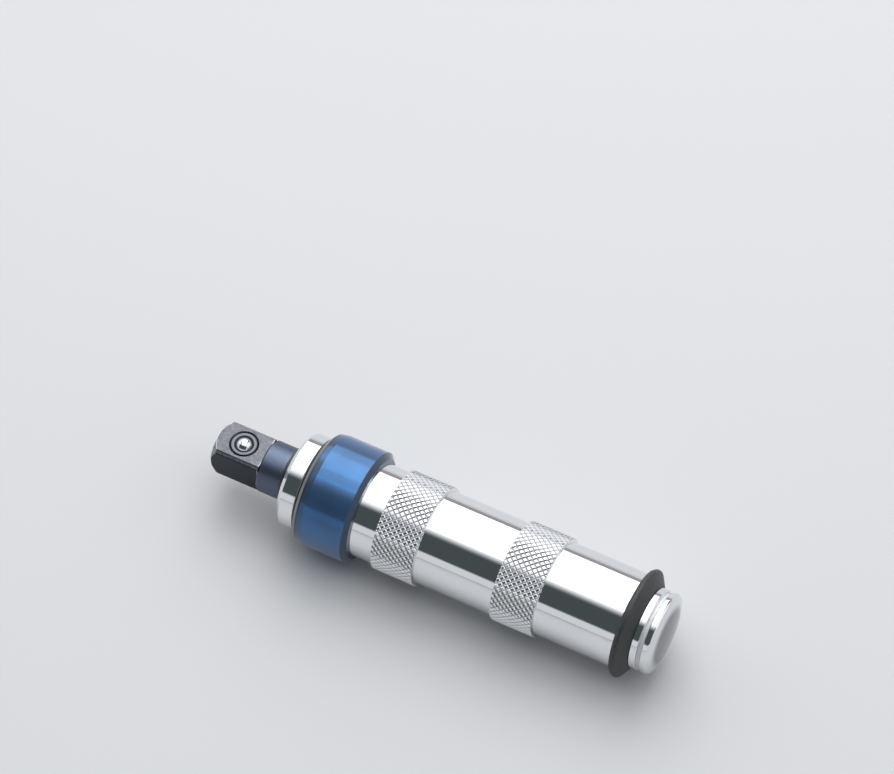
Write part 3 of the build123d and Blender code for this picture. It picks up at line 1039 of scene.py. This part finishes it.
class DriverStudio(bpy.types.PropertyGroup):
    """Floor, lamps and surroundings."""

    floor_color: bpy.props.FloatVectorProperty(
        name="Floor", description="Colour of the floor", subtype="COLOR", size=3, min=0, max=1,
        default=(0.60, 0.605, 0.615),
    )
    softbox_power: bpy.props.FloatProperty(
        name="Softbox power", description="Power of the large overhead softbox", unit="POWER",
        min=0, default=17.1,
    )
    hot_power: bpy.props.FloatProperty(
        name="Centre power", description="Power of the tube in the middle of the softbox",
        unit="POWER", min=0, default=3.2,
    )
    room_color: bpy.props.FloatVectorProperty(
        name="Room", description="Light of the pale walls of the room", subtype="COLOR", size=3,
        min=0, max=1, default=(0.73, 0.74, 0.77),
    )
    dark_color: bpy.props.FloatVectorProperty(
        name="Dark wall", description="Light of the wall that gives the plate its dark band",
        subtype="COLOR", size=3, min=0, max=1, default=(0.068, 0.082, 0.084),
    )
    grey_color: bpy.props.FloatVectorProperty(
        name="Back wall", description="Light of the wall low behind the tool", subtype="COLOR",
        size=3, min=0, max=1, default=(0.38, 0.35, 0.38),
    )


# Operators


class DRIVER_OT_barrel(bpy.types.Operator):
    """Builds the barrel with its two toothed grip bands"""

    bl_idname = "driver.barrel"
    bl_label = "Knurled barrel"

    def execute(self, context):
        scene = context.scene
        plate = knurled_chrome(scene.driver_finishes, scene.driver_knurl)
        piece = new_piece("knurled_barrel", barrel_mesh(scene.driver_knurl, plate), plate, "barrel")
        cutter = pin_cutter()
        cut = piece.modifiers.new("Pin holes", "BOOLEAN")
        cut.operation, cut.solver, cut.object = "DIFFERENCE", "EXACT", cutter
        flatten(piece)
        bpy.data.objects.remove(cutter)
        coat(piece.data, plate)
        piece.data.shade_smooth()
        piece.data.set_sharp_from_angle(angle=scene.driver_knurl.sharp_angle)
        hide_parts("barrel")
        return {"FINISHED"}


class DRIVER_OT_plated(bpy.types.Operator):
    """Plates the front cap and the striking head"""

    bl_idname = "driver.plated"
    bl_label = "Front cap and striking head"

    def execute(self, context):
        finishes = context.scene.driver_finishes
        paint(chrome(finishes), "front_cap")
        plate = head_chrome(finishes)
        recast("striking_head", "domed_striking_head", (1, 0, 0), plate, "barrel")
        return {"FINISHED"}


class DRIVER_OT_collar(bpy.types.Operator):
    """Finishes the anodised collar"""

    bl_idname = "driver.collar"
    bl_label = "Collar"

    def execute(self, context):
        paint(blue_anodising(context.scene.driver_finishes), "collar")
        return {"FINISHED"}


class DRIVER_OT_drive(bpy.types.Operator):
    """Finishes the anvil with its square, and the sprung ball in it"""

    bl_idname = "driver.drive"
    bl_label = "Square drive"

    def execute(self, context):
        finishes = context.scene.driver_finishes
        paint(black_oxide(finishes), "anvil")
        ball = polished_steel("polished_ball_steel", finishes.ball_color, roughness=0.07)
        recast("detent_ball", "polished_detent_ball", (0, 0, 1), ball, "ball")
        paint(retainer_steel(finishes), "detent_retainer")
        return {"FINISHED"}


class DRIVER_OT_rubber(bpy.types.Operator):
    """Finishes the guard ring, the seal and the O-rings"""

    bl_idname = "driver.rubber"
    bl_label = "Rubber rings"

    def execute(self, context):
        color = context.scene.driver_finishes.rubber_color
        seal, ring = [c * 0.7 for c in color], [c * 0.6 for c in color]
        paint(rubber("guard_rubber", color, roughness=0.42, grain_depth=0.007 * MM), "guard_ring")
        paint(rubber("seal_rubber", seal, roughness=0.26, grain_depth=0.003 * MM), "nose_seal")
        paint(
            rubber("ring_rubber", ring, roughness=0.3, grain_depth=0.002 * MM),
            "cap_o_ring", "collar_o_ring", "head_o_ring",
        )
        return {"FINISHED"}


class DRIVER_OT_inner_works(bpy.types.Operator):
    """Finishes the bush, washers, pins and springs inside the barrel"""

    bl_idname = "driver.inner_works"
    bl_label = "Inner works"

    def execute(self, context):
        finishes = context.scene.driver_finishes
        paint(ground_steel("bearing_bronze", finishes.bronze_color, roughness=0.24), "front_bush")
        paint(
            ground_steel("hardened_steel", finishes.hardened_color, roughness=0.22),
            "return_washer", "thrust_washer", "spring_seat", "drive_pin_back", "drive_pin_front",
        )
        wire = polished_steel("oiled_spring_wire", finishes.wire_color, roughness=0.3)
        sprung(
            "main_spring", "main_spring_coil", "impact_stroke", (1, 0, 0), wire, "barrel"
        )
        sprung(
            "detent_spring", "detent_spring_coil", "ball_detent", (0, 0, 1), wire, "anvil"
        )
        return {"FINISHED"}


class DRIVER_OT_studio(bpy.types.Operator):
    """Sets the floor, the lamps, the room and the camera"""

    bl_idname = "driver.studio"
    bl_label = "Studio"

    def execute(self, context):
        studio = context.scene.driver_studio
        floor(studio)
        room(studio)
        area_lamp(
            "Softbox", turn=math.radians(118), distance=1.25, along=-0.2, width=2.25, length=1.15,
            power=studio.softbox_power,
        )
        area_lamp(
            "Softbox centre", turn=math.radians(121), distance=1.2, along=-0.2, width=0.8,
            length=1.1, power=studio.hot_power,
        )
        context.scene.view_settings.view_transform = "Standard"
        camera()
        return {"FINISHED"}


class DRIVER_PT_panel(bpy.types.Panel):
    """Sizes, colours and steps of the hand impact driver"""

    bl_label = "Hand impact driver"
    bl_space_type = "VIEW_3D"
    bl_region_type = "UI"
    bl_category = "Driver"

    def draw(self, context):
        layout = self.layout
        for operator in OPERATORS:
            layout.operator(operator.bl_idname)
        scene = context.scene
        for group in (scene.driver_knurl, scene.driver_finishes, scene.driver_studio):
            box = layout.box()
            for name in group.bl_rna.properties.keys():
                if name not in ("rna_type", "name"):
                    box.prop(group, name)


OPERATORS = (
    DRIVER_OT_barrel,
    DRIVER_OT_plated,
    DRIVER_OT_collar,
    DRIVER_OT_drive,
    DRIVER_OT_rubber,
    DRIVER_OT_inner_works,
    DRIVER_OT_studio,
)
CLASSES = (DriverFinishes, DriverKnurl, DriverStudio, *OPERATORS, DRIVER_PT_panel)


def register():
    for made in CLASSES:
        bpy.utils.register_class(made)
    bpy.types.Scene.driver_finishes = bpy.props.PointerProperty(type=DriverFinishes)
    bpy.types.Scene.driver_knurl = bpy.props.PointerProperty(type=DriverKnurl)
    bpy.types.Scene.driver_studio = bpy.props.PointerProperty(type=DriverStudio)


def unregister():
    del bpy.types.Scene.driver_studio
    del bpy.types.Scene.driver_knurl
    del bpy.types.Scene.driver_finishes
    for made in reversed(CLASSES):
        bpy.utils.unregister_class(made)


def main():
    register()
    bpy.ops.driver.barrel()
    bpy.ops.driver.plated()
    bpy.ops.driver.collar()
    bpy.ops.driver.drive()
    bpy.ops.driver.rubber()
    bpy.ops.driver.inner_works()
    bpy.ops.driver.studio()


if __name__ == "__main__":
    main()
